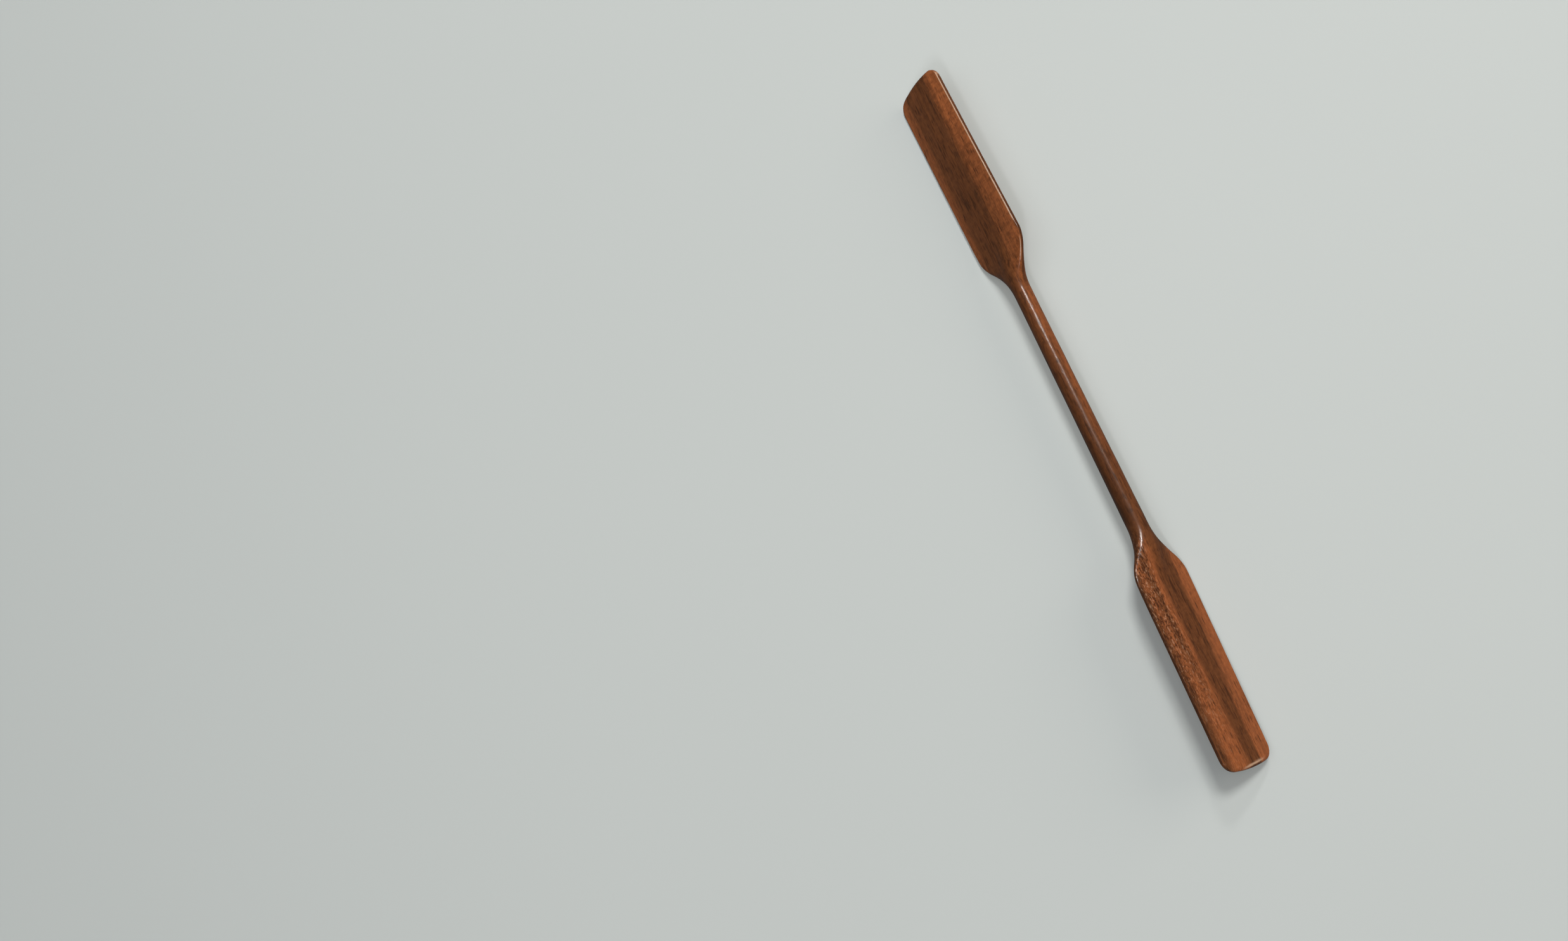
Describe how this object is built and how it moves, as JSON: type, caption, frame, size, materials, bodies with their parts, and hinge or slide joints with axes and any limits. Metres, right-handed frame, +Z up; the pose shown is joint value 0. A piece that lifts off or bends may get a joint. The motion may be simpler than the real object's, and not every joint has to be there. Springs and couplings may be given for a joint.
{
  "type": "model kayak paddle",
  "caption": "Carved dark-wood double-bladed kayak paddle from a desk model, blades set square to each other.",
  "frame": {"origin": "on the surface the paddle lies on, under the middle of its bounding box", "axes": "+X along the shaft to the upper blade's tip, +Z up from the surface, +Y to the side that the upper blade's full edge points to"},
  "size_m": [0.22, 0.0166, 0.0167],
  "materials": {
    "core_wood": "gloss varnish",
    "figured_cheek_wood": "gloss varnish",
    "warm_cheek_wood": "gloss varnish"
  },
  "bodies": {
    "root": {"shaft_core": "core_wood", "upper_blade_full_cheek": "figured_cheek_wood", "upper_blade_tapered_cheek": "warm_cheek_wood", "lower_blade_full_cheek": "figured_cheek_wood", "lower_blade_tapered_cheek": "warm_cheek_wood"}
  },
  "joints": []
}
